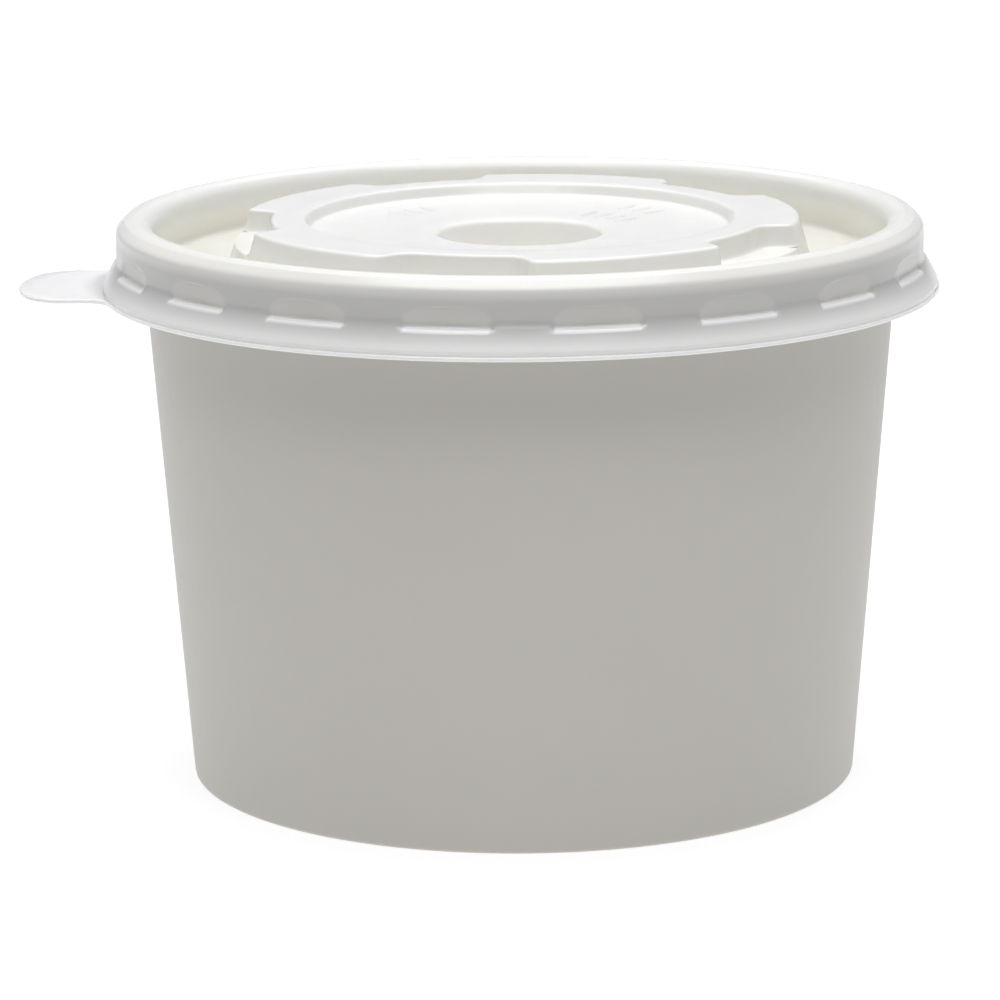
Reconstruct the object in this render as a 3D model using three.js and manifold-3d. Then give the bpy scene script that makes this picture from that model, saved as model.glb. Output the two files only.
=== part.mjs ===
// A takeaway soup container: a paper cup shut with a press-fit plastic lid.
// Millimetres, +Z up, the cup stands on z = 0. Shapes are made about the cup's axis,
// and the whole is then moved so that the origin is the middle of its footprint.
import * as THREE from "three";
import { mergeVertices } from "three/addons/utils/BufferGeometryUtils.js";
import Module from "manifold-3d";

const wasm = await Module();
wasm.setup();

// Cup: a cone of coated board on a folded base ring, with a rolled rim
const CUP_BASE_RADIUS = 41.43;
const CUP_FLARE = 0.0776; // growth in radius for each millimetre of height
const CUP_BASE_RING_WIDTH = 1.6;
const CUP_BASE_RECESS = 6;
const CUP_FOLD = 0.35; // radius of the folded lower edge
const CUP_SIDES = 64;
const BEAD_RADIUS = 1.5; // rolled rim, in section
const BEAD_OUTER_RADIUS = 48.85;

// Lid: a thin moulded cap with a flared skirt, a band that grips the rim and a sunken channel
const LID_WALL = 0.5;
const LIP_RADIUS = 51.67;
const LIP_HEIGHT = 61; // of its lower edge above the table
const LIP_RISE = 0.75;
const SKIRT_FOOT_RADIUS = 51.3;
const SKIRT_FOOT_HEIGHT = 62.5;
const BAND_RADIUS = 49.7;
const BAND_FOOT_HEIGHT = 64.8;
const RIM_TOP = 70.2;
const RIM_OUTER_ROUND = 1.6;
const RIM_INNER_ROUND = 1;
const RIM_INNER_RADIUS = 46.2;
const CHANNEL_RADIUS = 45.2; // at the channel's floor
const CHANNEL_FLOOR = 64;
const CHANNEL_ROUND = 0.5;
const JOIN_RADIUS = 40.5; // where the rim piece meets the middle piece, in the channel's floor

// Snap dents pressed into the foot of the band
const DENT_COUNT = 18;
const DENT_HALF_ANGLE = 6.5;
const DENT_FLAT_ANGLE = 5;
const DENT_FOOT_HEIGHT = 64.4;
const DENT_TOP_HEIGHT = 66.7;
const DENT_FOOT_DEPTH = 0.55;
const DENT_TOP_DEPTH = 0.3;
const DENT_LEDGE_HEIGHT = 64; // where the ledge under a dent runs out on the skirt
const DENT_LEDGE_RADIUS = 50.25;

// Raised ring on the lid, with rounded lobes round its outside
const LOBE_COUNT = 5;
const LOBE_PHASE = 4.6; // degrees from +X to the middle of the first lobe
const LOBE_RADIUS = 34.3;
const LOBE_GAP_RADIUS = 30.6;
const LOBE_HALF_WIDTH = 12.1; // to its straight sides
const RING_TOP = 69.75;
const RING_ROUND = 0.6;
const RING_DRAFT = 1.7; // how far the ring's wall leans out on its way down
const RING_INNER_RADIUS = 26.4;

// Sunken disc inside the ring, with a closed dimple in the middle
const DISC_RADIUS = 25.7;
const DISC_EDGE_HEIGHT = 68.35;
const DISC_MIDDLE_HEIGHT = 67.6;
const DIMPLE_RADIUS = 10.2;
const DIMPLE_FLOOR_RADIUS = 9.4;
const DIMPLE_FLOOR = 63.9;
const DIMPLE_ROUND = 0.9;

// Pull tab, in line with the lip, on the -X side
const TAB_REACH = 61.9; // from the axis to the tip
const TAB_HALF_WIDTH = 10.7;
const TAB_THICKNESS = 0.5;
const TAB_CORNER_RADIUS = 5.5;
const TAB_TIP_RADIUS = 19;
const TAB_ROOT_RADIUS = 3.4;

const CLEARANCE = 0.3; // between cup and lid

const radians = THREE.MathUtils.degToRad;
const lerp = THREE.MathUtils.lerp;
const cupRadius = (height) => CUP_BASE_RADIUS + CUP_FLARE * height;

// Points of an arc in a profile, from one angle to another in degrees.
function arc(radius, height, size, from, to, steps) {
  const points = [];
  for (let i = 0; i <= steps; i++) {
    const angle = radians(lerp(from, to, i / steps));
    points.push([radius + size * Math.cos(angle), height + size * Math.sin(angle)]);
  }
  return points;
}

// A closed mesh as a solid that can be joined.
function toSolid(geometry) {
  const bare = geometry.index ? geometry.toNonIndexed() : geometry.clone();
  bare.deleteAttribute("normal");
  bare.deleteAttribute("uv");
  const merged = mergeVertices(bare, 1e-4);
  const vertProperties = merged.attributes.position.array;
  const triVerts = new Uint32Array(merged.index.array);
  return new wasm.Manifold(new wasm.Mesh({ numProp: 3, vertProperties, triVerts }));
}

function toGeometry(solid) {
  const { vertProperties, triVerts } = solid.getMesh();
  const geometry = new THREE.BufferGeometry();
  geometry.setAttribute("position", new THREE.BufferAttribute(vertProperties, 3));
  geometry.setIndex(new THREE.BufferAttribute(triVerts, 1));
  geometry.computeVertexNormals();
  return geometry;
}

// Angles of one pitch of a pattern in degrees, repeated round the axis.
function patternAngles(count, phase, offsets) {
  const angles = [];
  for (let i = 0; i < count; i++) {
    for (const offset of offsets) angles.push(phase + (360 / count) * i + offset);
  }
  return angles;
}

// Degrees from an angle to the nearest middle of a pattern that repeats round the axis.
function fromMiddle(angle, count, phase) {
  const pitch = 360 / count;
  return Math.abs(THREE.MathUtils.euclideanModulo(angle - phase + pitch / 2, pitch) - pitch / 2);
}

// A turned form whose profile may change with the angle. Each profile is a loop of [radius, height]
// that runs up the outside, and points on the axis are shared by all angles. Each four-sided face is
// split along its shorter diagonal, which keeps the corners of the lobes and dents crisp.
function revolve(angles, profileAt) {
  const rows = angles.map((angle) =>
    profileAt(angle).map(([radius, height]) => [
      radius * Math.cos(radians(angle)),
      radius * Math.sin(radians(angle)),
      height,
    ]),
  );
  const positions = [];
  const span = (p, q) => Math.hypot(p[0] - q[0], p[1] - q[1], p[2] - q[2]);
  const addTriangle = (a, b, c) => {
    if (Math.min(span(a, b), span(b, c), span(c, a)) > 1e-6) positions.push(...a, ...b, ...c);
  };
  rows.forEach((row, i) => {
    const next = rows[(i + 1) % rows.length];
    row.forEach((point, j) => {
      const k = (j + 1) % row.length;
      if (span(point, next[k]) < span(next[j], row[k]) - 1e-6) {
        addTriangle(point, next[j], next[k]);
        addTriangle(point, next[k], row[k]);
      } else {
        addTriangle(point, next[j], row[k]);
        addTriangle(next[j], next[k], row[k]);
      }
    });
  });
  const geometry = new THREE.BufferGeometry();
  geometry.setAttribute("position", new THREE.Float32BufferAttribute(positions, 3));
  return geometry;
}

// The cup is solid up to the lid, because it is shut and its contents can't be seen.
function cupGeometry() {
  const recessRadius = cupRadius(0) - CUP_BASE_RING_WIDTH;
  const beadRadius = BEAD_OUTER_RADIUS - BEAD_RADIUS;
  const beadHeight = RIM_TOP - LID_WALL - 0.4 - BEAD_RADIUS;
  const beadFoot = beadHeight - BEAD_RADIUS;
  const boardTop = CHANNEL_FLOOR - LID_WALL - CLEARANCE;
  const boardInside = CHANNEL_RADIUS + LID_WALL + CLEARANCE;
  const profile = [
    [0, CUP_BASE_RECESS],
    [recessRadius + CUP_FLARE * CUP_BASE_RECESS, CUP_BASE_RECESS],
    ...arc(recessRadius + CUP_FOLD, CUP_FOLD, CUP_FOLD, 180, 270, 2),
    ...arc(cupRadius(0) - CUP_FOLD, CUP_FOLD, CUP_FOLD, 270, 360, 2),
    [cupRadius(beadFoot / 2), beadFoot / 2],
    [cupRadius(beadFoot), beadFoot],
    ...arc(beadRadius, beadHeight, BEAD_RADIUS, 280, 460, 7),
    [boardInside + 0.1, boardTop + 1],
    [boardInside, boardTop],
    [0, boardTop],
  ];
  const points = profile.map(([radius, height]) => new THREE.Vector2(radius, height));
  return new THREE.LatheGeometry(points, CUP_SIDES).rotateX(Math.PI / 2);
}

// How far a snap dent draws the band in, at an angle: a flat facet with short sides.
function dentShift(angle, depth) {
  const off = fromMiddle(angle, DENT_COUNT, 0);
  if (off > DENT_FLAT_ANGLE + 0.01) return 0;
  return BAND_RADIUS - (BAND_RADIUS - depth) / Math.cos(radians(off));
}

// The outer part of the lid: lip, skirt, dented band, rolled top, and the channel's wall and floor.
function lidRimProfile(angle) {
  const foot = dentShift(angle, DENT_FOOT_DEPTH);
  const top = dentShift(angle, DENT_TOP_DEPTH);
  const footHeight = foot > 0 ? DENT_FOOT_HEIGHT : BAND_FOOT_HEIGHT;
  const innerBand = BAND_RADIUS - LID_WALL;
  const plug = RIM_INNER_RADIUS + LID_WALL;
  return [
    [LIP_RADIUS, LIP_HEIGHT],
    [LIP_RADIUS - 0.05, LIP_HEIGHT + LIP_RISE],
    [SKIRT_FOOT_RADIUS, SKIRT_FOOT_HEIGHT],
    [DENT_LEDGE_RADIUS, DENT_LEDGE_HEIGHT],
    [BAND_RADIUS - foot, footHeight],
    [BAND_RADIUS - top, DENT_TOP_HEIGHT],
    [BAND_RADIUS, DENT_TOP_HEIGHT + 0.3],
    ...arc(BAND_RADIUS - RIM_OUTER_ROUND, RIM_TOP - RIM_OUTER_ROUND, RIM_OUTER_ROUND, 0, 90, 3),
    ...arc(RIM_INNER_RADIUS + RIM_INNER_ROUND, RIM_TOP - RIM_INNER_ROUND, RIM_INNER_ROUND, 90, 180, 2),
    [CHANNEL_RADIUS + 0.1, CHANNEL_FLOOR + CHANNEL_ROUND],
    [CHANNEL_RADIUS - CHANNEL_ROUND, CHANNEL_FLOOR],
    [JOIN_RADIUS, CHANNEL_FLOOR],
    [JOIN_RADIUS, CHANNEL_FLOOR - LID_WALL],
    [CHANNEL_RADIUS + LID_WALL, CHANNEL_FLOOR - LID_WALL],
    [plug, RIM_TOP - LID_WALL - RIM_INNER_ROUND / 2],
    [plug + RIM_INNER_ROUND / 2, RIM_TOP - LID_WALL],
    [innerBand - RIM_INNER_ROUND, RIM_TOP - LID_WALL],
    [innerBand, RIM_TOP - RIM_OUTER_ROUND],
    [innerBand - top, DENT_TOP_HEIGHT],
    [innerBand - foot, footHeight + 0.1],
    [DENT_LEDGE_RADIUS - LID_WALL, DENT_LEDGE_HEIGHT],
    [SKIRT_FOOT_RADIUS - LID_WALL, SKIRT_FOOT_HEIGHT],
    [LIP_RADIUS - LID_WALL, LIP_HEIGHT + LIP_RISE],
    [LIP_RADIUS - LID_WALL, LIP_HEIGHT],
  ];
}

// Degrees from a lobe's middle to where one of its straight sides crosses a circle.
const lobeSideAngle = (radius, grown) =>
  THREE.MathUtils.radToDeg(Math.asin((LOBE_HALF_WIDTH + grown) / (radius + grown)));

// Radius of the raised ring's outline, grown outwards: lobes with parallel sides, and gaps.
function ringRadius(angle, grown) {
  const off = fromMiddle(angle, LOBE_COUNT, LOBE_PHASE);
  const side = (LOBE_HALF_WIDTH + grown) / Math.sin(radians(Math.max(off, 1)));
  return THREE.MathUtils.clamp(side, LOBE_GAP_RADIUS + grown, LOBE_RADIUS + grown);
}

// The middle of the lid: lobed ring, sunken disc and dimple. Its underside is plain and turned.
function lidMiddleProfile(angle) {
  const outer = ringRadius(angle, 0);
  const under = CHANNEL_FLOOR - LID_WALL;
  const ringInside = LOBE_GAP_RADIUS - LID_WALL;
  return [
    [0, under - 0.1],
    [DIMPLE_FLOOR_RADIUS + LID_WALL, under - 0.1],
    [DIMPLE_RADIUS + LID_WALL, DISC_MIDDLE_HEIGHT - LID_WALL],
    [DISC_RADIUS + LID_WALL, DISC_EDGE_HEIGHT - LID_WALL],
    [RING_INNER_RADIUS + LID_WALL, RING_TOP - LID_WALL],
    [ringInside - RING_ROUND, RING_TOP - LID_WALL],
    [ringInside + RING_DRAFT, under],
    [JOIN_RADIUS + 1, under],
    [JOIN_RADIUS + 1, CHANNEL_FLOOR],
    [ringRadius(angle, RING_DRAFT), CHANNEL_FLOOR],
    ...arc(outer - RING_ROUND, RING_TOP - RING_ROUND, RING_ROUND, 18, 90, 2),
    [RING_INNER_RADIUS + RING_ROUND, RING_TOP],
    [RING_INNER_RADIUS, RING_TOP - RING_ROUND / 2],
    [DISC_RADIUS, DISC_EDGE_HEIGHT],
    [DIMPLE_RADIUS + DIMPLE_ROUND, DISC_MIDDLE_HEIGHT],
    [DIMPLE_RADIUS, DISC_MIDDLE_HEIGHT - DIMPLE_ROUND],
    [DIMPLE_FLOOR_RADIUS, DIMPLE_FLOOR],
    [0, DIMPLE_FLOOR],
  ];
}

// The pull tab: a thin plate with a broad round tip and hollow roots that run into the lip.
function tabGeometry() {
  const join = LIP_RADIUS - LID_WALL / 2;
  const side = TAB_HALF_WIDTH;
  const corner = TAB_CORNER_RADIUS;
  const root = TAB_ROOT_RADIUS;
  // The middle of a hollow root touches the tab's side and the lip's circle from outside.
  const rootY = side + root;
  const rootX = Math.sqrt((LIP_RADIUS + root) ** 2 - rootY ** 2);
  const rootEnd = Math.atan2(rootY, rootX);
  // The middle of a corner touches the side and the broad arc of the tip from inside.
  const tipX = TAB_REACH - TAB_TIP_RADIUS;
  const cornerY = side - corner;
  const cornerX = tipX + Math.sqrt((TAB_TIP_RADIUS - corner) ** 2 - cornerY ** 2);
  const cornerEnd = Math.atan2(cornerY, cornerX - tipX);
  const shape = new THREE.Shape();
  shape.moveTo(join * Math.cos(rootEnd), -join * Math.sin(rootEnd));
  shape.absarc(rootX, -rootY, root, Math.PI - rootEnd, Math.PI / 2, true);
  shape.absarc(cornerX, -cornerY, corner, -Math.PI / 2, -cornerEnd, false);
  shape.absarc(tipX, 0, TAB_TIP_RADIUS, -cornerEnd, cornerEnd, false);
  shape.absarc(cornerX, cornerY, corner, cornerEnd, Math.PI / 2, false);
  shape.absarc(rootX, rootY, root, -Math.PI / 2, -Math.PI + rootEnd, true);
  shape.absarc(0, 0, join, rootEnd, -rootEnd, true);
  const plate = new THREE.ExtrudeGeometry(shape, {
    depth: TAB_THICKNESS,
    bevelEnabled: false,
    curveSegments: 8,
  });
  return plate.rotateZ(Math.PI).translate(0, 0, LIP_HEIGHT);
}

function lidGeometry() {
  const dentOffsets = [-DENT_HALF_ANGLE, -DENT_FLAT_ANGLE, 0, DENT_FLAT_ANGLE, DENT_HALF_ANGLE, 10];
  const sideOffsets = [0, RING_DRAFT].flatMap((grown) => [
    lobeSideAngle(LOBE_RADIUS, grown),
    lobeSideAngle(LOBE_GAP_RADIUS, grown),
  ]);
  sideOffsets.sort((a, b) => a - b);
  const halfLobe = sideOffsets[0] / 2;
  const lobeOffsets = [
    ...sideOffsets.map((offset) => -offset).reverse(),
    ...[-halfLobe, 0, halfLobe],
    ...sideOffsets,
    180 / LOBE_COUNT,
  ];
  const rim = revolve(patternAngles(DENT_COUNT, 0, dentOffsets), lidRimProfile);
  const middle = revolve(patternAngles(LOBE_COUNT, LOBE_PHASE, lobeOffsets), lidMiddleProfile);
  return toGeometry(toSolid(rim).add(toSolid(middle)).add(toSolid(tabGeometry())));
}

function piece(name, geometry, color, roughness) {
  const material = new THREE.MeshStandardMaterial({ color, roughness, metalness: 0 });
  const mesh = new THREE.Mesh(geometry, material);
  mesh.name = name;
  return mesh;
}

const container = new THREE.Group();
container.position.x = (TAB_REACH - LIP_RADIUS) / 2;
container.add(piece("cup", cupGeometry(), 0xeceae4, 0.6));
container.add(piece("lid", lidGeometry(), 0xf3f3f0, 0.35));

export default container;
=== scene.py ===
# %% [markdown]
# # A takeaway soup container
# A stubby cup of coated paper board, shut with a thin milky lid pressed over its rolled rim.
# The cup is a cone that stands on a folded ring. The lid is one moulded shell: a flared skirt with a
# pull tab, a band with a row of dents, a rolled top, a sunken channel in which another
# container can stand, and a raised ring with five lobes round a sunken disc and a dimple.

# %% Load the fixed frame
import math

import bmesh
import bpy
from mathutils import Matrix, Vector


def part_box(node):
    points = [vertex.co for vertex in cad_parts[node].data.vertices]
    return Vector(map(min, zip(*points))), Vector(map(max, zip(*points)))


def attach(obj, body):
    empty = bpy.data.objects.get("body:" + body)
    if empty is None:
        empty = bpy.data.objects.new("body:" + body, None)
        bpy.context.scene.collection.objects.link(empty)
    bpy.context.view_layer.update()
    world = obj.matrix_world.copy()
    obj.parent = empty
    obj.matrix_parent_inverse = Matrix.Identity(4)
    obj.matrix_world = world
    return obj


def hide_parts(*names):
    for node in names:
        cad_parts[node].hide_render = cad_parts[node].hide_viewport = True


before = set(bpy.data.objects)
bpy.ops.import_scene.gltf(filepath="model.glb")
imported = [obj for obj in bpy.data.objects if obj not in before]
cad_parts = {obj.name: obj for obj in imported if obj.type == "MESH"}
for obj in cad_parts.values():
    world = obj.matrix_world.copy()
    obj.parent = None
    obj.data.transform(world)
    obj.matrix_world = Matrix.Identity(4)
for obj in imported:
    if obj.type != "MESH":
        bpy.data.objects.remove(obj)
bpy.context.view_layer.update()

cup_low, cup_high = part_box("cup")
lid_low, lid_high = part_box("lid")
MM = 0.001
AXIS_X = (cup_low[0] + cup_high[0]) / 2
LIP_RADIUS = (lid_high[0] - AXIS_X) / MM
TAB_REACH = (AXIS_X - lid_low[0]) / MM
LIP_HEIGHT = lid_low[2] / MM
RIM_TOP = lid_high[2] / MM
print(f"axis x {AXIS_X / MM:.2f} mm, lip radius {LIP_RADIUS:.2f} mm, top {RIM_TOP:.2f} mm")

# %% [markdown]
# ## Camera
# The picture was taken with a long lens from a little above the lid, which keeps the ellipses of lip
# and base nearly alike. A long lens far away is set here, tipped down by about twelve degrees.

# %% Camera
CAMERA_PLACE = Vector((AXIS_X - 2.724 * MM, -577.74 * MM, 160.77 * MM))
CAMERA_PITCH = math.radians(12.40)
CAMERA_ROLL = math.radians(-0.516)
camera_data = bpy.data.cameras.new("camera")
camera_data.lens = 170.4
camera_data.sensor_width = 36
camera = bpy.data.objects.new("camera", camera_data)
camera.location = CAMERA_PLACE
tilt = Matrix.Rotation(math.pi / 2 - CAMERA_PITCH, 3, "X") @ Matrix.Rotation(CAMERA_ROLL, 3, "Z")
camera.rotation_euler = tilt.to_euler()
bpy.context.collection.objects.link(camera)
bpy.context.scene.camera = camera
print("camera distance", round((CAMERA_PLACE - Vector((AXIS_X, 0, 0.035))).length, 3), "m")

# %% [markdown]
# ## Materials
# Every finish is made of nodes on Object coordinates, so a pattern stays where it is on the piece.
# Each helper adds one kind of node, with its plain values and its links, and gives back the node or
# the socket that goes on. That keeps the recipes short.

# %% Helpers for material recipes
NOISE_SPAN = 0.3, 0.7  # nearly all of a noise's values lie in it


def new_material(name):
    material = bpy.data.materials.new(name)
    material.use_nodes = True
    tree = material.node_tree
    shader = tree.nodes["Principled BSDF"]
    return material, tree, shader


def add_node(tree, kind, **values):
    node = tree.nodes.new(kind)
    for key, value in values.items():
        if hasattr(node, key):
            setattr(node, key, value)
        else:
            node.inputs[key.replace("_", " ").title()].default_value = value
    return node


def add_noise(tree, scale, detail, stretch=(1, 1, 1)):
    place = tree.nodes.new("ShaderNodeTexCoord")
    mapping = tree.nodes.new("ShaderNodeMapping")
    mapping.inputs["Scale"].default_value = stretch
    tree.links.new(place.outputs["Object"], mapping.inputs["Vector"])
    noise = add_node(tree, "ShaderNodeTexNoise", scale=scale, detail=detail, roughness=0.5)
    tree.links.new(mapping.outputs["Vector"], noise.inputs["Vector"])
    return noise.outputs["Fac"]


def opaque(colour):
    """A colour with its alpha, also from a single number for a grey."""
    return (*colour, 1) if isinstance(colour, tuple) else (colour, colour, colour, 1)


def add_ramp(tree, source, low, high, low_colour, high_colour):
    ramp = tree.nodes.new("ShaderNodeValToRGB")
    ramp.color_ramp.elements[0].position = low
    ramp.color_ramp.elements[1].position = high
    ramp.color_ramp.elements[0].color = opaque(low_colour)
    ramp.color_ramp.elements[1].color = opaque(high_colour)
    tree.links.new(source, ramp.inputs["Fac"])
    return ramp


def add_bump(tree, shader, sources, strength, depth):
    """Chains one bump for each height source into the shader's normal."""
    normal = None
    for source in sources:
        bump = tree.nodes.new("ShaderNodeBump")
        bump.inputs["Strength"].default_value = strength
        bump.inputs["Distance"].default_value = depth
        tree.links.new(source, bump.inputs["Height"])
        if normal is not None:
            tree.links.new(normal, bump.inputs["Normal"])
        normal = bump.outputs["Normal"]
    tree.links.new(normal, shader.inputs["Normal"])


def add_range(tree, source, low, high, low_value=0.0, high_value=1.0):
    node = tree.nodes.new("ShaderNodeMapRange")
    limits = {"From Min": low, "From Max": high, "To Min": low_value, "To Max": high_value}
    for name, value in limits.items():
        node.inputs[name].default_value = value
    tree.links.new(source, node.inputs["Value"])
    return node.outputs["Result"]


def add_mix(tree, share, colour, other):
    """Mixes a colour with another one, a socket or a plain value, by a share."""
    mix = add_node(tree, "ShaderNodeMix", data_type="RGBA")
    tree.links.new(share, mix.inputs["Factor"])
    tree.links.new(colour, mix.inputs["A"])
    if isinstance(other, tuple):
        mix.inputs["B"].default_value = opaque(other)
    else:
        tree.links.new(other, mix.inputs["B"])
    return mix.outputs["Result"]


def add_height(tree):
    place = tree.nodes.new("ShaderNodeTexCoord")
    split = tree.nodes.new("ShaderNodeSeparateXYZ")
    tree.links.new(place.outputs["Object"], split.inputs["Vector"])
    return split.outputs["Z"]


def add_radius(tree):
    """The distance from the axis: the length of the place once the height is taken out of it."""
    place = tree.nodes.new("ShaderNodeTexCoord")
    flatten = tree.nodes.new("ShaderNodeMapping")
    flatten.inputs["Location"].default_value = (-AXIS_X, 0, 0)
    flatten.inputs["Scale"].default_value = (1, 1, 0)
    tree.links.new(place.outputs["Object"], flatten.inputs["Vector"])
    radius = add_node(tree, "ShaderNodeVectorMath", operation="LENGTH")
    tree.links.new(flatten.outputs["Vector"], radius.inputs[0])
    return radius.outputs["Value"]


def in_metres(span):
    return [value * MM for value in span]


# %% [markdown]
# ### Coated board
# Cup board is paper with a thin plastic skin on both sides. Its colour is a slightly warm white with
# faint clouds from the pulp, and its skin has a soft sheen over a very fine tooth. Towards the lid's
# skirt the board gets a little darker, for the shade that gathers there.

# %% Coated board
BOARD_COLOURS = (0.566, 0.546, 0.495), (0.578, 0.558, 0.506)
SHADE_COLOUR = (0.53, 0.512, 0.467)
SHADE_HEIGHTS = 46, 61  # mm, between which the shade comes in
BOARD_ROUGHNESS = 0.4, 0.46


def make_board():
    material, tree, shader = new_material("coated_board")
    clouds = add_noise(tree, scale=55, detail=4)
    tint = add_ramp(tree, clouds, *NOISE_SPAN, *BOARD_COLOURS)
    shade = add_range(tree, add_height(tree), *in_metres(SHADE_HEIGHTS))
    colour = add_mix(tree, shade, tint.outputs["Color"], SHADE_COLOUR)
    tree.links.new(colour, shader.inputs["Base Color"])
    fibres = add_noise(tree, scale=900, detail=2, stretch=(1, 1, 0.35))
    sheen = add_ramp(tree, fibres, *NOISE_SPAN, *BOARD_ROUGHNESS)
    tree.links.new(sheen.outputs["Color"], shader.inputs["Roughness"])
    add_bump(tree, shader, [clouds, fibres], strength=0.12, depth=0.08 * MM)
    shader.inputs["Specular IOR Level"].default_value = 0.95
    return material


# %% [markdown]
# ### Milky lid plastic
# The lid is white plastic drawn so thin that some of the light passes through it. So nearly all of
# its colour comes from light that scatters under the surface. On top of that, its colour carries
# painted shade. On the outside it is painted greyer on the band, and that painted shade fades out,
# whiter and cooler, towards the lip and up the rolled top. The dents are painted in a lighter,
# warmer shade than the band, with a painted highlight on their small ledges. Down in the channel
# the painted shade is darker and creamier, and the underside is painted dark, which deepens the
# shade on the cup under the lip.
#
# So the top's colour gives way to the channel's painted shade by the height, and to the outside's
# by the distance from the axis. The outside's and the dents' painted colours follow the height
# themselves. Where the dents are, and which side is the underside, is told by attributes that the
# mesh carries.

# %% Milky lid plastic
TOP_COLOURS = (0.96, 0.95, 0.868), (0.967, 0.958, 0.882)
# Painted shade: the underside is painted dark, which darkens the light it bounces onto the cup under
# the lip.
UNDERSIDE_PAINTED_SHADE = (0.6, 0.59, 0.56)
# Painted shade on the outside, by height: darkest on the band, fading out whiter and cooler towards
# the lip and up the rolled top.
OUTSIDE_PAINTED_SHADE_STOPS = [  # height in mm and colour
    (61.0, (0.93, 0.93, 0.915)),
    (62.6, (0.86, 0.86, 0.84)),
    (63.9, (0.69, 0.69, 0.673)),
    (64.8, (0.585, 0.582, 0.566)),
    (67.5, (0.59, 0.587, 0.57)),
    (69.3, (0.88, 0.875, 0.83)),
]
# The dents' colours by height: a painted highlight on the ledge, and facets painted in a shade a
# little lighter and warmer than the band's.
DENT_PAINTED_SHADE_AND_HIGHLIGHT_STOPS = [
    (64.2, (0.985, 0.985, 0.97)),
    (64.58, (0.97, 0.965, 0.94)),
    (64.8, (0.65, 0.64, 0.606)),
    (67.4, (0.614, 0.609, 0.586)),
]
OUTSIDE_SHADE_RADII = 46.4, 48.4  # mm, between which the outside's colour comes in
# Painted shade down in the channel, darker and creamier, by height and radius.
CHANNEL_PAINTED_SHADE = (0.78, 0.772, 0.705)
CHANNEL_SHADE_HEIGHTS = 67.4, 64.0  # mm, between which the channel's colour comes in
CHANNEL_SHADE_RADII = 27.5, 29.5  # mm, between which it also comes in, which keeps it out of the dimple
PLASTIC_ROUGHNESS = 0.215, 0.235


def add_height_colour(tree, stops):
    """A colour that follows the height."""
    low, high = stops[0][0], stops[-1][0]
    height = add_range(tree, add_height(tree), *in_metres((low, high)))
    ramp = add_ramp(tree, height, 0, 1, stops[0][1], stops[-1][1])
    for stop, colour in stops[1:-1]:
        ramp.color_ramp.elements.new((stop - low) / (high - low)).color = opaque(colour)
    return ramp.outputs["Color"]


def add_attribute(tree, name):
    return add_node(tree, "ShaderNodeAttribute", attribute_name=name).outputs["Fac"]


def make_plastic():
    material, tree, shader = new_material("milky_plastic")
    depth = add_noise(tree, scale=30, detail=2)
    colour = add_ramp(tree, depth, *NOISE_SPAN, *TOP_COLOURS).outputs["Color"]
    # Painted shade down in the channel, by height and radius.
    deep = add_range(tree, add_height(tree), *in_metres(CHANNEL_SHADE_HEIGHTS))
    radius = add_radius(tree)
    beyond = add_range(tree, radius, *in_metres(CHANNEL_SHADE_RADII))
    channel_shade = add_node(tree, "ShaderNodeMath", operation="MULTIPLY")
    tree.links.new(deep, channel_shade.inputs[0])
    tree.links.new(beyond, channel_shade.inputs[1])
    colour = add_mix(tree, channel_shade.outputs["Value"], colour, CHANNEL_PAINTED_SHADE)
    # Painted shade on the outside, by height, beyond a radius.
    outside_shade = add_range(tree, radius, *in_metres(OUTSIDE_SHADE_RADII))
    colour = add_mix(tree, outside_shade, colour, add_height_colour(tree, OUTSIDE_PAINTED_SHADE_STOPS))
    # The dents' lighter painted shade and the ledges' painted highlight.
    colour = add_mix(tree, add_attribute(tree, "dent"), colour, add_height_colour(tree, DENT_PAINTED_SHADE_AND_HIGHLIGHT_STOPS))
    # The underside's painted shade.
    colour = add_mix(tree, add_attribute(tree, "underside"), colour, UNDERSIDE_PAINTED_SHADE)
    tree.links.new(colour, shader.inputs["Base Color"])
    haze = add_noise(tree, scale=260, detail=2)
    gloss = add_ramp(tree, haze, *NOISE_SPAN, *PLASTIC_ROUGHNESS)
    tree.links.new(gloss.outputs["Color"], shader.inputs["Roughness"])
    ripples = add_noise(tree, scale=110, detail=1)
    add_bump(tree, shader, [ripples], strength=0.06, depth=0.02 * MM)
    shader.inputs["IOR"].default_value = 1.49
    shader.inputs["Subsurface Weight"].default_value = 1
    shader.inputs["Subsurface Radius"].default_value = (1, 0.97, 0.9)
    shader.inputs["Subsurface Scale"].default_value = 0.2 * MM
    return material


board = make_board()
plastic = make_plastic()
print("materials:", board.name, plastic.name)

# %% [markdown]
# ## Turned shapes
# Both pieces are round, so both start as a profile, a list of radius and height pairs in
# millimetres, that is swept round the axis. Moulded plastic and folded board have no sharp edges,
# so a profile is given as corners, each with its own rounding, and the arcs are worked out.

# %% Rounded profiles
ARC_STEPS = 4
SAME_POINT = 0.0001 * MM  # points closer than this are one


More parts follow.
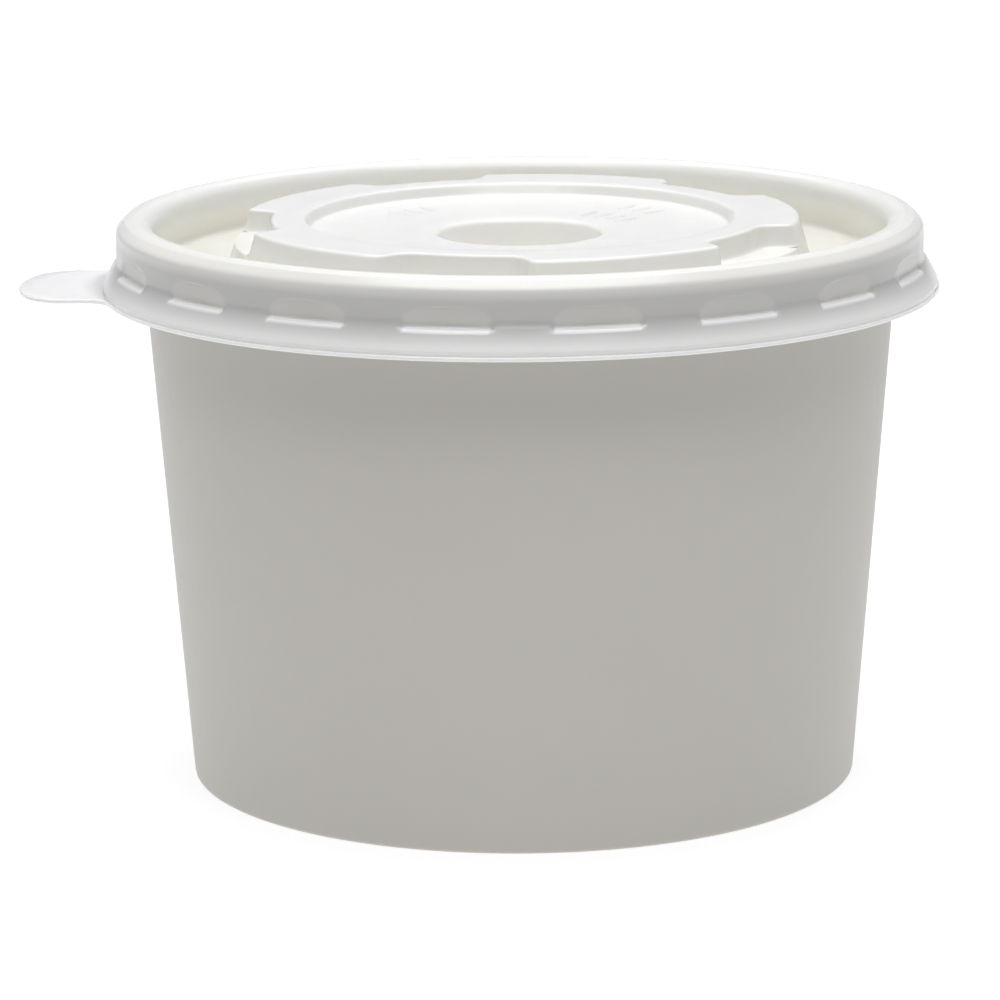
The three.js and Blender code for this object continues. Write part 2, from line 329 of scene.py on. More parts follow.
def rounded_profile(corners):
    """Corners are (radius, height, rounding, pieces of the straight that leads to it)."""
    path = []
    for i, (r, z, rounding, pieces) in enumerate(corners):
        here = Vector((r, z))
        start = here
        arc = [here]
        if rounding > 0 and 0 < i < len(corners) - 1:
            back = Vector(corners[i - 1][:2]) - here
            on = Vector(corners[i + 1][:2]) - here
            turn = back.angle(on)
            cut = rounding / math.tan(turn / 2)
            reach = rounding / math.sin(turn / 2)
            start = here + back.normalized() * cut
            centre = here + (back.normalized() + on.normalized()).normalized() * reach
            first = start - centre
            swing = (here + on.normalized() * cut - centre).angle_signed(first)
            turns = [swing * k / ARC_STEPS for k in range(ARC_STEPS + 1)]
            arc = [centre + Matrix.Rotation(t, 2) @ first for t in turns]
        if path:
            path += [path[-1].lerp(start, k / pieces) for k in range(1, pieces)]
        path += arc
    return [tuple(point) for point in path]


def add_columns(mesh_builder, columns, around, **attributes):
    """Joins columns of points by quads, and the last column to the first if the sheet goes all round.

    An attribute is a number for the whole sheet or a list of columns of numbers.
    """
    layers = mesh_builder.verts.layers.float
    for name in attributes:
        layers.get(name) or layers.new(name)
    rows = [[mesh_builder.verts.new(point) for point in column] for column in columns]
    for name, values in attributes.items():
        layer = layers.get(name)
        for i, row in enumerate(rows):
            for k, vertex in enumerate(row):
                vertex[layer] = values[i][k] if isinstance(values, list) else values
    pairs = list(zip(rows, rows[1:]))
    if around:
        pairs.append((rows[-1], rows[0]))
    for left, right in pairs:
        for k in range(len(left) - 1):
            mesh_builder.faces.new((left[k], right[k], right[k + 1], left[k + 1]))


def column_at(angle, profile):
    """A profile stood up at an angle in degrees, in metres about the axis."""
    c, s = math.cos(math.radians(angle)), math.sin(math.radians(angle))
    return [Vector((r * c, r * s, z)) * MM for r, z in profile]


def to_object(name, mesh_builder):
    bmesh.ops.remove_doubles(mesh_builder, verts=mesh_builder.verts, dist=SAME_POINT)
    mesh = bpy.data.meshes.new(name)
    mesh_builder.to_mesh(mesh)
    mesh_builder.free()
    made = bpy.data.objects.new(name, mesh)
    bpy.context.collection.objects.link(made)
    return made


# %% [markdown]
# ### A wall of even thickness
# The lid is moulded from a sheet, so its underside follows its top at the thickness of the sheet.
# The underside's profile is the top's, with each point moved square to the line through its
# neighbours, towards the inside. Nobody sees it closely, so it keeps only every second point and the
# last one.

# %% The other side of a moulded sheet
LID_WALL = 0.4


def inner_side(profile):
    moved = []
    for i, (r, z) in enumerate(profile):
        before = profile[max(i - 1, 0)]
        after = profile[min(i + 1, len(profile) - 1)]
        along = Vector((after[0] - before[0], after[1] - before[1])).normalized()
        moved.append((r - along.y * LID_WALL, z + along.x * LID_WALL))
    return moved[:-1:2] + moved[-1:]


# %% [markdown]
# ## The repeat
# The lid repeats twice over: eighteen dents round its band, and five lobes round its raised ring. So
# one dent and one lobe are modelled, each on its own slice of the lid, and Geometry Nodes set copies
# of the slice round the axis and weld them. The slice is the modifier's own mesh.

# %% A Geometry Nodes tree that repeats a slice round the axis
TREE_INPUTS = {
    "Slice": "Geometry",
    "Count": "Int",
    "Pitch": "Float",
    "Start Angle": "Float",
    "Weld": "Float",
    "Material": "Material",
}


def make_repeat_tree():
    tree = bpy.data.node_groups.new("repeat_round_axis", "GeometryNodeTree")
    for name, kind in TREE_INPUTS.items():
        tree.interface.new_socket(name, in_out="INPUT", socket_type="NodeSocket" + kind)
    tree.interface.new_socket("Ring", in_out="OUTPUT", socket_type="NodeSocketGeometry")
    nodes, link = tree.nodes, tree.links.new
    given = nodes.new("NodeGroupInput")
    points = nodes.new("GeometryNodePoints")
    index = nodes.new("GeometryNodeInputIndex")
    turn = add_node(tree, "ShaderNodeMath", operation="MULTIPLY_ADD")
    spin = nodes.new("ShaderNodeCombineXYZ")
    copies = nodes.new("GeometryNodeInstanceOnPoints")
    real = nodes.new("GeometryNodeRealizeInstances")
    weld = nodes.new("GeometryNodeMergeByDistance")
    finish = nodes.new("GeometryNodeSetMaterial")
    out = nodes.new("NodeGroupOutput")
    link(given.outputs["Count"], points.inputs["Count"])
    link(index.outputs["Index"], turn.inputs[0])
    link(given.outputs["Pitch"], turn.inputs[1])
    link(given.outputs["Start Angle"], turn.inputs[2])
    link(turn.outputs["Value"], spin.inputs["Z"])
    link(points.outputs["Points"], copies.inputs["Points"])
    link(given.outputs["Slice"], copies.inputs["Instance"])
    link(spin.outputs["Vector"], copies.inputs["Rotation"])
    link(copies.outputs["Instances"], real.inputs["Geometry"])
    link(real.outputs["Geometry"], weld.inputs["Geometry"])
    link(given.outputs["Weld"], weld.inputs["Distance"])
    link(weld.outputs["Geometry"], finish.inputs["Geometry"])
    link(given.outputs["Material"], finish.inputs["Material"])
    link(finish.outputs["Geometry"], out.inputs["Ring"])
    return tree


repeat_tree = make_repeat_tree()
print("repeat tree:", len(repeat_tree.nodes), "nodes")

# %% Run the tree on a slice
WELD = 0.002 * MM


def repeat_slice(slice_object, count, pitch, start_angle):
    """Runs the tree on a slice, angles in degrees, and gives back the ring as a plain mesh."""
    modifier = slice_object.modifiers.new("repeat", "NODES")
    modifier.node_group = repeat_tree
    values = {
        "Count": count,
        "Pitch": math.radians(pitch),
        "Start Angle": math.radians(start_angle),
        "Weld": WELD,
        "Material": plastic,
    }
    for item in repeat_tree.interface.items_tree:
        if item.item_type == "SOCKET" and item.name in values:
            modifier[item.identifier] = values[item.name]
    evaluated = slice_object.evaluated_get(bpy.context.evaluated_depsgraph_get())
    mesh = bpy.data.meshes.new_from_object(evaluated)
    slice_mesh = slice_object.data
    bpy.data.objects.remove(slice_object)
    bpy.data.meshes.remove(slice_mesh)
    return mesh


# %% [markdown]
# ## The lid's band and skirt
# The band grips the rolled rim of the cup from outside, so it ends in eighteen dents that catch
# under the rim. Each dent is a flat facet with round shoulders that leans in towards its foot, and a
# small bright ledge runs from there out to the skirt. The dent is a rule: at each angle and height
# it says how far the wall moves in, so one function shapes the whole slice.

# %% One slice of the band, with its dent
BAND_RADIUS = 49.7
DENT_COUNT = 18
DENT_PITCH = 360 / DENT_COUNT
BAND_COLUMNS = 36  # in one slice
BAND_UNDER_STEP = 3  # columns of the top side for each one of the underside
DENT_HALF_WIDTH = 5.35  # mm along the band
DENT_FOOT = 64.52
DENT_TOP = 67.0
DENT_FOOT_DEPTH = 0.45
DENT_TOP_DEPTH = 0.12
LEDGE_FOOT = 64.3
DENT_SQUARENESS = 3.2  # exponent of the outline: higher is squarer
DENT_EDGE = 0.3  # mm over which its outline fades in
CHANNEL_FLOOR = 64.0
CHANNEL_RADIUS = 45.0
BAND_JOIN = 41.5  # radius in the channel's floor where the band ends, a little outside the middle
SKIRT_FOOT_RADIUS = 51.42
SKIRT_FOOT_HEIGHT = 61.58


def smooth(value):
    t = min(max(value, 0), 1)
    return t * t * (3 - 2 * t)


def dented(offset, r, z):
    """Radius of the wall at an angle from the dent's middle and a height, and how far it is dented."""
    if not LEDGE_FOOT < z < DENT_TOP + DENT_EDGE or r < BAND_RADIUS - 1:
        return r, 0.0
    rise = max((z - DENT_FOOT) / (DENT_TOP - DENT_FOOT), 0)
    along = abs(math.radians(offset)) * BAND_RADIUS / DENT_HALF_WIDTH
    reach = (along**DENT_SQUARENESS + rise**DENT_SQUARENESS) ** (1 / DENT_SQUARENESS)
    inside = smooth((1 - reach) * DENT_HALF_WIDTH / DENT_EDGE)
    depth = DENT_FOOT_DEPTH + (DENT_TOP_DEPTH - DENT_FOOT_DEPTH) * rise
    facet = (BAND_RADIUS - depth) / math.cos(math.radians(offset))
    ledge = min((z - LEDGE_FOOT) / (DENT_FOOT - LEDGE_FOOT), 1)
    return r + (min(facet, r) - r) * inside * ledge, inside


BAND_PROFILE = rounded_profile(
    [
        (SKIRT_FOOT_RADIUS, SKIRT_FOOT_HEIGHT, 0, 1),
        (51.47, 61.8, 0.2, 1),
        (51.43, 62.1, 0.3, 1),
        (50.22, LEDGE_FOOT, 0, 5),
        (50.1, DENT_FOOT, 0, 4),
        (BAND_RADIUS + 0.02, 65.15, 1.1, 3),
        (BAND_RADIUS, 67.2, 0, 16),
        (BAND_RADIUS, 68.9, 1.1, 3),
        (48.55, 69.95, 0.25, 1),
        (47.4, RIM_TOP, 0.8, 1),
        (45.1, RIM_TOP, 2.0, 1),
        (CHANNEL_RADIUS, CHANNEL_FLOOR, 0.7, 5),
        (BAND_JOIN, CHANNEL_FLOOR, 0, 2),
    ]
)


def make_band_slice():
    offsets = [DENT_PITCH * (k / BAND_COLUMNS - 0.5) for k in range(BAND_COLUMNS + 1)]
    dents = [[dented(offset, r, z) for r, z in BAND_PROFILE] for offset in offsets]
    profiles = [[(r, z) for (r, share), (_, z) in zip(column, BAND_PROFILE)] for column in dents]
    shares = [[share for r, share in column] for column in dents]
    builder = bmesh.new()
    top = [column_at(o, path) for o, path in zip(offsets, profiles)]
    under = [column_at(o, inner_side(path)[::-1]) for o, path in zip(offsets, profiles)]
    add_columns(builder, top, around=False, dent=shares, underside=0.0)
    add_columns(builder, under[::BAND_UNDER_STEP], around=False, underside=1.0)
    return to_object("band_slice", builder)


band_mesh = repeat_slice(make_band_slice(), DENT_COUNT, DENT_PITCH, 0)
print("band:", len(band_mesh.polygons), "faces")

# %% [markdown]
# ## The lid's middle
# A raised ring stiffens the lid. Five pockets are pressed into its outer edge from above, which
# leaves five broad lobes with straight parallel sides, and each pocket's floor is a small ledge half
# way down. The ring's inside drops to a disc that sags a little towards a closed dimple. The
# pockets' walls follow an outline that isn't round, so the slice isn't swept round the axis: each
# column of points climbs the ring's foot, crosses the ledge to the outline, and goes on from there.
# The ring's underside is the same column, moved in and down by the thickness of the sheet.

# %% The outline of one lobe
LOBE_COUNT = 5
LOBE_PITCH = 360 / LOBE_COUNT
LOBE_START = 4.6  # degrees from +X
LOBE_RADIUS = 34.3
LOBE_HALF_WIDTH = 12.1
GAP_RADIUS = 30.6
LOBE_CORNER = 1.0
GAP_CORNER = 2.0
GAP_STEPS, HOLLOW_STEPS, CORNER_STEPS, LOBE_STEPS = 6, 8, 7, 14


def towards(turn):
    """The direction at a turn in radians from +X."""
    return Vector((math.cos(turn), math.sin(turn)))


def facing_arc(centre, size, start, end, count):
    """Points of an arc with the way that each faces. A size below zero faces the arc's middle."""
    facings = [towards(start + (end - start) * k / count) for k in range(count + 1)]
    return [(Vector(centre) + facing * size, facing) for facing in facings]


def half_lobe_outline():
    """Points, facings and pocket shares from the middle of a gap to that of the lobe, on +X."""
    hollow = Vector((0, LOBE_HALF_WIDTH + GAP_CORNER))
    hollow.x = math.sqrt((GAP_RADIUS + GAP_CORNER) ** 2 - hollow.y**2)
    corner = Vector((0, LOBE_HALF_WIDTH - LOBE_CORNER))
    corner.x = math.sqrt((LOBE_RADIUS - LOBE_CORNER) ** 2 - corner.y**2)
    hollow_turn = math.atan2(hollow.y, hollow.x)
    corner_turn = math.atan2(corner.y, corner.x)
    sideways = math.pi / 2
    pocket = facing_arc((0, 0), GAP_RADIUS, math.radians(LOBE_PITCH / 2), hollow_turn, GAP_STEPS)
    pocket += facing_arc(hollow, -GAP_CORNER, hollow_turn, sideways, HOLLOW_STEPS)[1:]
    turned = facing_arc(corner, LOBE_CORNER, sideways, corner_turn, CORNER_STEPS)
    lobe = facing_arc((0, 0), LOBE_RADIUS, corner_turn, 0, LOBE_STEPS)[1:]
    outline = [(p, n, 1.0) for p, n in pocket]
    outline += [(p, n, 1 - k / CORNER_STEPS) for k, (p, n) in enumerate(turned)]
    return outline + [(p, n, 0.0) for p, n in lobe]


print("half a lobe's outline:", len(half_lobe_outline()), "points")

# %% One slice of the middle, with its lobe
MIDDLE_JOIN = 39.5  # radius in the channel's floor where the middle ends
MIDDLE_UNDER_STEP = 2
RING_HEIGHT = 69.75
RING_INSIDE = 26.5
RING_DRAFT = 1.75  # mm that the ring's outside stands out at its foot
RING_SHOULDER = 0.05  # mm that it stands out at the top
DISC_JOIN = 28.4  # radius on the ring's flat top, inside which all is round
DISC_EDGE = 68.35
DISC_MIDDLE = 67.62
DISC_RADIUS = 25.75
DIMPLE_RADIUS = 10.15
DIMPLE_FOOT_RADIUS = 9.3
DIMPLE_FLOOR = 63.9
POCKET_FLOOR = 67.0
POCKET_LOW = POCKET_FLOOR - 0.25  # the foot ends here
POCKET_HIGH = POCKET_FLOOR + 0.5  # and the top begins here, with the ledge's points between them
POCKET_LEAN = 0.35  # how much the pockets' walls lean, as a share of the lobes'


def lean(height):
    """How far the ring's outside stands out at a height, in mm."""
    drop = (RING_HEIGHT - height) / (RING_HEIGHT - CHANNEL_FLOOR)
    return RING_SHOULDER + drop * (RING_DRAFT - RING_SHOULDER)


# Each of these lists pairs a distance out with a height, or with a rise over the pocket's floor.
FOOT_PROFILE = rounded_profile(
    [
        (RING_DRAFT + 0.8, CHANNEL_FLOOR, 0, 1),
        (RING_DRAFT, CHANNEL_FLOOR, 0.45, 1),
        (lean(POCKET_LOW), POCKET_LOW, 0, 3),
    ]
)
TOP_PROFILE = rounded_profile(
    [
        (lean(POCKET_HIGH), POCKET_HIGH, 0, 1),
        (RING_SHOULDER, RING_HEIGHT, 0.55, 3),
        (-0.9, RING_HEIGHT, 0, 1),
    ]
)
POCKET_EDGE = [(0.89, -0.1), (0.84, -0.03), (0.7, 0)]
POCKET_CORNER = [(0.95, 0), (0.62, 0.02), (0.42, 0.12), (0.3, 0.3)]
LOBE_RISES = [-0.1, -0.03, 0.04, 0.11, 0.19, 0.27, 0.37]
DISC_PROFILE = rounded_profile(
    [
        (DISC_JOIN, RING_HEIGHT, 0, 1),
        (RING_INSIDE, RING_HEIGHT, 0.6, 1),
        (DISC_RADIUS, DISC_EDGE, 0.5, 2),
        (DIMPLE_RADIUS, DISC_MIDDLE, 0.8, 6),
        (DIMPLE_FOOT_RADIUS, DIMPLE_FLOOR, 0.6, 4),
        (0, DIMPLE_FLOOR, 0, 3),
    ]
)


def middle_column(point, facing, pocket, disc, shift=0.0):
    """From the channel's floor over the ring to the middle. The underside is shifted in and down."""
    ray = point.normalized()
    rows = [(ray * (LOBE_RADIUS + out), z) for out, z in FOOT_PROFILE]
    lobe = [(point + facing * lean(POCKET_FLOOR + rise), POCKET_FLOOR + rise) for rise in LOBE_RISES]
    ledge = [(ray * (LOBE_RADIUS + out), POCKET_FLOOR + rise) for out, rise in POCKET_EDGE]
    ledge += [(point + facing * out, POCKET_FLOOR + rise) for out, rise in POCKET_CORNER]
    rows += [(a.lerp(b, pocket), y + (z - y) * pocket) for (a, y), (b, z) in zip(lobe, ledge)]
    for out, z in TOP_PROFILE:
        kept = out if out < 0 else out * (1 + (POCKET_LEAN - 1) * pocket)
        rows.append((point + facing * kept, z))
    rows = [(place - facing * shift, z - shift) for place, z in rows]
    join, inner = ray * MIDDLE_JOIN, ray * disc[0][0]
    (foot, low), (edge, high) = rows[0], rows[-1]
    rows = [(join.lerp(foot, k / 2), low) for k in range(2)] + rows
    rows += [(edge.lerp(inner, k / 3), high) for k in (1, 2)]
    rows += [(ray * r, z) for r, z in disc]
    return [Vector((place.x, place.y, z)) * MM for place, z in rows]


def make_middle_slice():
    half = half_lobe_outline()
    mirrored = [(Vector((p.x, -p.y)), Vector((n.x, -n.y)), share) for p, n, share in half]
    outline = mirrored + half[-2::-1]
    under_disc = inner_side(DISC_PROFILE)
    builder = bmesh.new()
    top = [middle_column(*spot, DISC_PROFILE) for spot in outline]
    under = [middle_column(*spot, under_disc, LID_WALL)[::-1] for spot in outline]
    add_columns(builder, top, around=False, dent=0.0, underside=0.0)
    add_columns(builder, under[::MIDDLE_UNDER_STEP], around=False, underside=1.0)
    return to_object("middle_slice", builder)


middle_mesh = repeat_slice(make_middle_slice(), LOBE_COUNT, LOBE_PITCH, LOBE_START)
print("middle:", len(middle_mesh.polygons), "faces")

# %% [markdown]
# ## Lip and pull tab
# The skirt ends in a narrow flat flange, the trimmed edge of the moulding, and the pull tab is the
# same flange drawn out to a rounded tongue. So both are one strip: its outer edge is the lip's
# circle, and between the tab's roots it is the tab's outline.

# %% The tab's outline
LIP_COLUMNS = DENT_COUNT * BAND_COLUMNS
TAB_HALF_WIDTH = 10.7
TAB_CORNER = 5.5
TAB_TIP = 19
TAB_ROOT = 3.4
OUTLINE_SPACING = 0.05  # mm between the outline's points


def fine_arc(centre, size, start, end):
    count = round(abs(end - start) * size / OUTLINE_SPACING)
    return [point for point, facing in facing_arc(centre, size, start, end, count)]


def tab_outline():
    """Half of the outline, from the middle of the tip to where the root meets the lip, along +X."""
    root_y = TAB_HALF_WIDTH + TAB_ROOT
    root_x = math.sqrt((LIP_RADIUS + TAB_ROOT) ** 2 - root_y**2)
    tip_x = TAB_REACH - TAB_TIP
    corner_y = TAB_HALF_WIDTH - TAB_CORNER
    corner_x = tip_x + math.sqrt((TAB_TIP - TAB_CORNER) ** 2 - corner_y**2)
    meet = math.atan2(corner_y, corner_x - tip_x)
    end = math.atan2(root_y, root_x)
    tip = fine_arc((tip_x, 0), TAB_TIP, 0, meet)
    corner = fine_arc((corner_x, corner_y), TAB_CORNER, meet, math.pi / 2)
    root = fine_arc((root_x, root_y), TAB_ROOT, -math.pi / 2, end - math.pi)
    return tip + corner + root


def along_path(points, share):
    """The point at a share of a path's length."""
    lengths = [(b - a).length for a, b in zip(points, points[1:])]
    left = share * sum(lengths)
    for point, following, length in zip(points, points[1:], lengths):
        if left <= length and length > 0:
            return point.lerp(following, left / length)
        left -= length
    return points[-1].copy()


TAB_OUTLINE = tab_outline()
TAB_END = math.degrees(math.atan2(TAB_OUTLINE[-1].y, TAB_OUTLINE[-1].x))
print(f"tab outline: root ends {TAB_END:.1f} degrees from its middle")

# %% The strip of lip and tab
FLANGE_THICKNESS = 0.5
FLANGE_ROUND = 0.14  # rounding of its edge
ARC_MIDDLE = 0.3 * FLANGE_ROUND  # how far the middle of that rounding lies inside its corner
CREASE_DEPTH = 0.12
CREASE_OUT = 0.05  # mm from the skirt's foot to the crease
TOP_SHARES = (0.3, 0.5, 0.75, 1)  # from the crease to the edge
UNDER_SHARES = (0, 0.25, 0.5, 0.75, 0.95, 1)  # from the edge back to the skirt


def lip_edge(angle):
    """The outer edge at an angle from +X, with the tab on the -X side."""
    off = angle % 360 - 180
    if abs(off) >= TAB_END:
        return towards(math.radians(angle)) * LIP_RADIUS
    point = along_path(TAB_OUTLINE, abs(off) / TAB_END)
    return Vector((-point.x, -math.copysign(point.y, off)))


def make_flange():
    """A strip from the skirt's foot out over the flange, round its edge and back underneath."""
    step = 360 / LIP_COLUMNS
    angles = [step * k for k in range(LIP_COLUMNS)]
    edges = [lip_edge(angle) for angle in angles]
    top = LIP_HEIGHT + FLANGE_THICKNESS
    upper_round = [(ARC_MIDDLE, top - ARC_MIDDLE), (0, top - FLANGE_ROUND)]
    lower_round = [(0, LIP_HEIGHT + FLANGE_ROUND), (ARC_MIDDLE, LIP_HEIGHT + ARC_MIDDLE)]
    under_foot = inner_side(BAND_PROFILE)[0][0]
    columns = []
    for k, angle in enumerate(angles):
        edge = edges[k]
        along = (edges[(k + 1) % LIP_COLUMNS] - edges[k - 1]).normalized()
        outward = Vector((along.y, -along.x))
        ray = towards(math.radians(angle))
        foot, inner = ray * SKIRT_FOOT_RADIUS, ray * under_foot
        crease = ray * (SKIRT_FOOT_RADIUS + CREASE_OUT)
        shoulder = edge - outward * FLANGE_ROUND
        places = [(foot, SKIRT_FOOT_HEIGHT), (crease, top - CREASE_DEPTH)]
        places += [(crease.lerp(shoulder, share), top) for share in TOP_SHARES]
        places += [(edge - outward * inset, z) for inset, z in upper_round + lower_round]
        places += [(shoulder.lerp(inner, share), LIP_HEIGHT) for share in UNDER_SHARES]
        columns.append([Vector((p.x, p.y, z)) * MM for p, z in places])
    return columns


FLANGE_COLUMNS = make_flange()
print("lip strip:", len(FLANGE_COLUMNS), "columns")

# %% [markdown]
# ## The lid as one shell
# Band, middle and lip are put in one mesh. The lip shares its points with the band, so the two are
# welded. Where the numbers of points differ, in the channel's floor and under the lip, the open
# edges are bridged. The result is one closed shell.

# %% Weld the lid
def boundary_loops(builder):
    """Open edges, grouped by the loop they are in."""
    left = {e for e in builder.edges if e.is_boundary}
    loops = []
    while left:
        todo, loop = [left.pop()], []
        while todo:
            edge = todo.pop()
            loop.append(edge)
            near = {n for v in edge.verts for n in v.link_edges if n in left}
            left -= near
            todo += near
        loops.append(loop)
    return loops


def loop_place(loop):
    point = loop[0].verts[0].co
    return math.hypot(point.x, point.y) / MM, point.z / MM


def bridge_near(builder, radius, height):
    """Bridges the two open loops that lie nearest to a radius and height."""
    loops = sorted(
        boundary_loops(builder),
        key=lambda loop: math.dist(loop_place(loop), (radius, height)),
    )
    bmesh.ops.bridge_loops(builder, edges=loops[0] + loops[1])


def make_lid():
    builder = bmesh.new()
    builder.from_mesh(band_mesh)
    add_columns(builder, FLANGE_COLUMNS, around=True)
    bmesh.ops.remove_doubles(builder, verts=builder.verts, dist=WELD)
    builder.from_mesh(middle_mesh)
    places = [tuple(round(value, 2) for value in loop_place(loop)) for loop in boundary_loops(builder)]
    print("open loops before bridging (radius, height):", places)
    join_radius = (BAND_JOIN + MIDDLE_JOIN) / 2
    bridge_near(builder, join_radius, CHANNEL_FLOOR)
    bridge_near(builder, join_radius, CHANNEL_FLOOR - LID_WALL)
    bridge_near(builder, SKIRT_FOOT_RADIUS - LID_WALL, LIP_HEIGHT)
    bmesh.ops.recalc_face_normals(builder, faces=builder.faces)
    open_edges = sum(1 for edge in builder.edges if not edge.is_manifold)
    volume = builder.calc_volume() / MM**3
    triangles = sum(len(face.verts) - 2 for face in builder.faces)
    print(f"lid: {triangles} triangles, {open_edges} open edges, {volume:.0f} mm3")
    bmesh.ops.translate(builder, verts=builder.verts, vec=(AXIS_X, 0, 0))
    made = to_object("lid_shell", builder)
    made.data.materials.append(plastic)
    made.data.shade_smooth()
    return made


lid = make_lid()
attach(lid, "root")
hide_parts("lid")

# %% [markdown]
# ## Moulded marks
# Such a lid carries a few small raised marks on its disc. Here they are plain bars with round ends,
# in three short rows that follow the disc's round. One bar is made on the slope of the disc, and
# the same tree that set out the slices sets out the row.

# %% Rows of raised bars
BAR_HALF_LENGTH = 1.5
BAR_HALF_WIDTH = 0.42
BAR_RINGS = [(0, -0.05), (0, 0.004), (0.1, 0.04), (0.24, 0.058)]  # inset and height
BAR_POINTS = 20  # in each ring
BAR_ROWS = [(15.2, 4, 8.5, 29), (20.8, 3, 7, 35), (19.6, 3, 7.5, 126)]  # radius, bars, pitch, start


def disc_height(radius):
    share = (radius - DIMPLE_RADIUS) / (DISC_RADIUS - DIMPLE_RADIUS)
    return DISC_MIDDLE + (DISC_EDGE - DISC_MIDDLE) * share


def make_bar(radius):
    """A bar that points at the axis: rings of points that shrink upwards, closed at both ends."""
    builder = bmesh.new()
    rings = []
    for inset, height in BAR_RINGS:
        ring = []
        for k in range(BAR_POINTS):
            turn = math.tau * k / BAR_POINTS
            x = math.copysign(BAR_HALF_LENGTH - BAR_HALF_WIDTH, math.cos(turn))
            x += (BAR_HALF_WIDTH - inset) * math.cos(turn)
            y = (BAR_HALF_WIDTH - inset) * math.sin(turn)
            z = disc_height(radius + x) + height
            ring.append(builder.verts.new(Vector((radius + x, y, z)) * MM))
        rings.append(ring)
    for low, high in zip(rings, rings[1:]):
        for k in range(BAR_POINTS):
            on = (k + 1) % BAR_POINTS
            builder.faces.new((low[k], low[on], high[on], high[k]))
    builder.faces.new(rings[-1])
    builder.faces.new(rings[0][::-1])
    return to_object("mark_bar", builder)


def make_marks():
    builder = bmesh.new()
    for radius, count, pitch, start in BAR_ROWS:
        builder.from_mesh(repeat_slice(make_bar(radius), count, pitch, start))
    bmesh.ops.translate(builder, verts=builder.verts, vec=(AXIS_X, 0, 0))
    made = to_object("lid_marks", builder)
    made.data.materials.append(plastic)
    made.data.shade_smooth()
    print("marks:", len(made.data.polygons), "faces")
    return made


marks = make_marks()
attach(marks, "root")

# %% [markdown]
# ## The cup
# A paper cup is a flat fan of board rolled to a cone and glued along a lap seam, with its lower edge
# folded in round the skirt of a separate base disc, and its upper edge rolled out to a bead. The
# wall is swept like the lid, and the lap seam at the back is a step in its radius: the outer ply
# rises gently over the inner one and ends in a cut edge.

# %% The cup's wall
CUP_COLUMNS = 360
CUP_BASE_RADIUS = 41.43
CUP_FLARE = 0.0776  # mm that the radius grows by for each mm of height
CUP_WALL_TOP = 66
CUP_MIDDLE = 35  # height at which the lap is measured
BOARD_THICKNESS = 0.35
FOLD_WIDTH = 1.5
FOLD_TOP = 4.2
FOLD_LEAN = 0.3104  # mm that the fold's end stands out from its foot
BASE_HEIGHT = 6.0
BASE_INSET = 0.4  # mm between the base disc's edge and the cone
BEAD_NECK = 66.3
BEAD_TOP = 69.3
INSIDE_EDGE, INSIDE_MIDDLE = 62.6, 62.2  # heights under the lid, where nothing shows
SEAM_ANGLE = 118  # degrees from +X, on the back
SEAM_LAP = 7.0  # mm of overlap
SEAM_RISE = 2.5  # mm over which the outer ply climbs
SEAM_STEP = 0.22  # mm that it then stands out by
SEAM_CUT = (-0.02, 0.06)  # degrees from the lap's end to the columns beside the cut edge


def cup_radius(height):
    return CUP_BASE_RADIUS + CUP_FLARE * height


def seam_lift(angle):
    """How far the outer ply stands out at an angle, in mm."""
    off = (angle - SEAM_ANGLE + 180) % 360 - 180
    along = math.radians(off) * cup_radius(CUP_MIDDLE)
    if along > SEAM_LAP:
        return 0
    return SEAM_STEP * smooth((along + SEAM_RISE) / SEAM_RISE)


def cup_profile(lift):
    """From the base's middle round the fold, up the wall, over the bead and in under the lid."""
    fold = CUP_BASE_RADIUS - FOLD_WIDTH
    return rounded_profile(
        [
            (0, BASE_HEIGHT, 0, 1),
            (fold + CUP_FLARE * BASE_HEIGHT - BASE_INSET, BASE_HEIGHT, 0.6, 12),
            (fold + FOLD_LEAN, FOLD_TOP, 0, 1),
            (fold + FOLD_LEAN - BOARD_THICKNESS, FOLD_TOP, 0, 1),
            (fold - BOARD_THICKNESS, 0, 0.3, 3),
            (cup_radius(0) + lift, 0, 0.55, 2),
            (cup_radius(CUP_WALL_TOP) + lift, CUP_WALL_TOP, 0.4, 40),
            (48.2, BEAD_NECK, 0.8, 2),
            (48.85, BEAD_TOP, 1.2, 2),
            (46.9, BEAD_TOP, 0.9, 2),
            (46.1, INSIDE_EDGE, 0, 4),
            (0, INSIDE_MIDDLE, 0, 6),
        ]
    )


def make_cup():
    builder = bmesh.new()
    angles = [360 * k / CUP_COLUMNS for k in range(CUP_COLUMNS)]
    lap_end = SEAM_ANGLE + math.degrees(SEAM_LAP / cup_radius(CUP_MIDDLE))
    angles = sorted(angles + [lap_end + off for off in SEAM_CUT])
    add_columns(builder, [column_at(a, cup_profile(seam_lift(a))) for a in angles], around=True)
    bmesh.ops.remove_doubles(builder, verts=builder.verts, dist=WELD)
    bmesh.ops.recalc_face_normals(builder, faces=builder.faces)
    print(f"cup: {len(builder.faces)} faces, {builder.calc_volume() / MM**3:.0f} mm3")
    bmesh.ops.translate(builder, verts=builder.verts, vec=(AXIS_X, 0, 0))
    made = to_object("paper_cup", builder)
    made.data.materials.append(board)
    made.data.shade_smooth()
    return made


cup = make_cup()
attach(cup, "root")
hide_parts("cup")

# %% [markdown]
# ## Floor and light
# The container stands on a plain white table that glows softly, under a large softbox above it and
# a little in front, with a smaller and weaker one behind. The room is pale behind the object and
# dark behind the camera, which leaves the front of the cup in soft shade and rims its edges. The
# Standard view keeps the whites as plain as the lights make them.

# %% Floor
FLOOR_GREYS = 0.3, 0.32
FLOOR_GLOW = 0.78
FLOOR_REACH = 4  # metres from the middle to each side


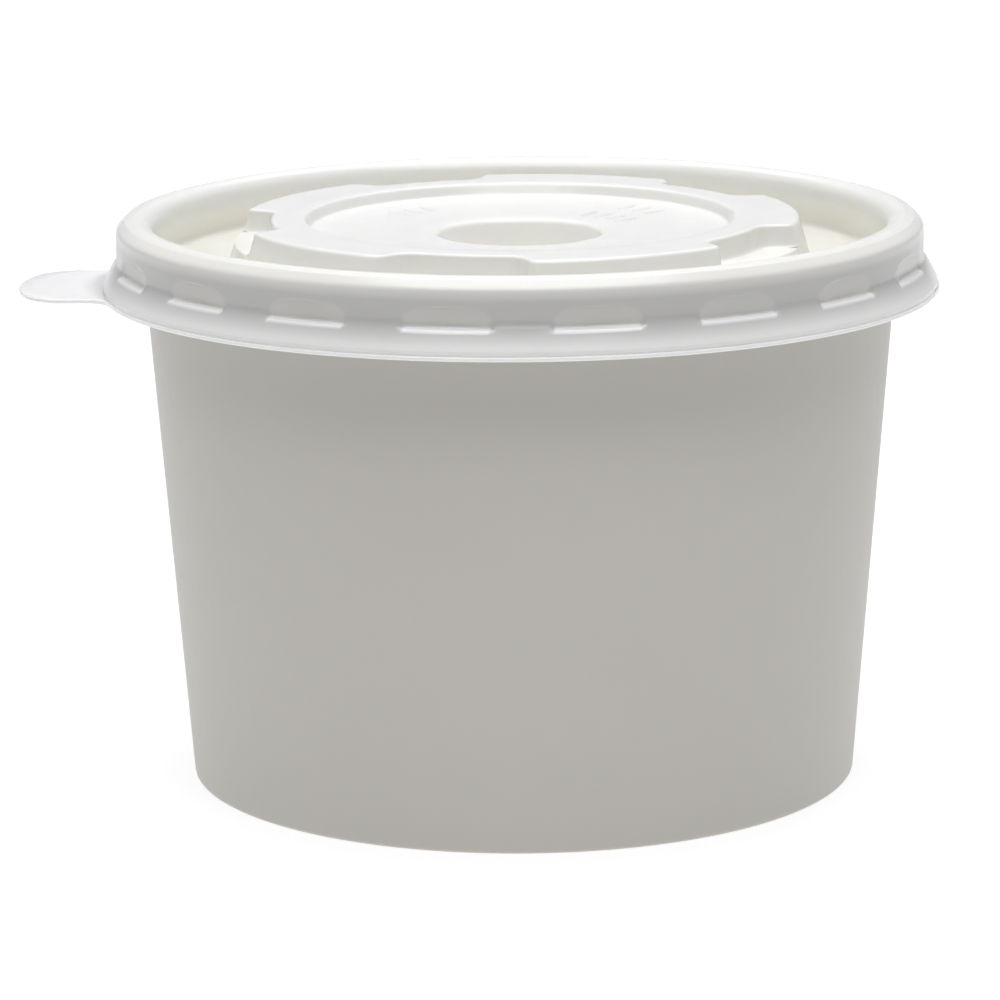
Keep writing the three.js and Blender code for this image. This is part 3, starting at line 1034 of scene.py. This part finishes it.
def make_floor():
    material, tree, shader = new_material("studio_floor")
    clouds = add_noise(tree, scale=2, detail=2)
    tint = add_ramp(tree, clouds, *NOISE_SPAN, *FLOOR_GREYS)
    tree.links.new(tint.outputs["Color"], shader.inputs["Base Color"])
    shader.inputs["Roughness"].default_value = 0.9
    shader.inputs["Specular IOR Level"].default_value = 0.1
    shader.inputs["Emission Color"].default_value = (1, 1, 1, 1)
    shader.inputs["Emission Strength"].default_value = FLOOR_GLOW
    builder = bmesh.new()
    bmesh.ops.create_grid(builder, x_segments=8, y_segments=8, size=FLOOR_REACH)
    made = to_object("floor", builder)
    made.data.materials.append(material)
    print("floor:", 2 * FLOOR_REACH, "m wide")


make_floor()

# %% Lights
DAYLIGHT_WHITE = (0.975, 0.97, 1)
LIGHT_TARGET = Vector((0, 0, 0.03))


def add_softbox(name, place, size, power):
    """A rectangular light at a place in metres, turned towards the container."""
    data = bpy.data.lights.new(name, "AREA")
    data.shape = "RECTANGLE"
    data.size, data.size_y = size
    data.energy = power
    data.color = DAYLIGHT_WHITE
    made = bpy.data.objects.new(name, data)
    made.location = place
    made.rotation_euler = (LIGHT_TARGET - Vector(place)).to_track_quat("-Z", "Y").to_euler()
    bpy.context.collection.objects.link(made)
    print(f"{name} light: {power} W")


add_softbox("overhead", place=(0, -0.25, 1.3), size=(1.1, 1.4), power=18.5)
add_softbox("behind", place=(0, 0.8, 1.1), size=(1.0, 0.6), power=4.5)

# %% Room
ROOM_COLOUR = (0.945, 0.955, 1)
ROOM_SPAN = -0.5, 1  # of the direction's Y, over which the room gets brighter
ROOM_STRENGTHS = 0, 0.47


def make_room():
    """A pale room that is bright behind the object and dim behind the camera."""
    world = bpy.data.worlds.new("room")
    bpy.context.scene.world = world
    world.use_nodes = True
    tree = world.node_tree
    place = tree.nodes.new("ShaderNodeTexCoord")
    split = tree.nodes.new("ShaderNodeSeparateXYZ")
    tree.links.new(place.outputs["Generated"], split.inputs["Vector"])
    strength = add_range(tree, split.outputs["Y"], *ROOM_SPAN, *ROOM_STRENGTHS)
    tree.links.new(strength, tree.nodes["Background"].inputs["Strength"])
    tree.nodes["Background"].inputs["Color"].default_value = opaque(ROOM_COLOUR)
    print("room: strength from", ROOM_STRENGTHS[0], "to", ROOM_STRENGTHS[1])


make_room()
bpy.context.scene.view_settings.view_transform = "Standard"
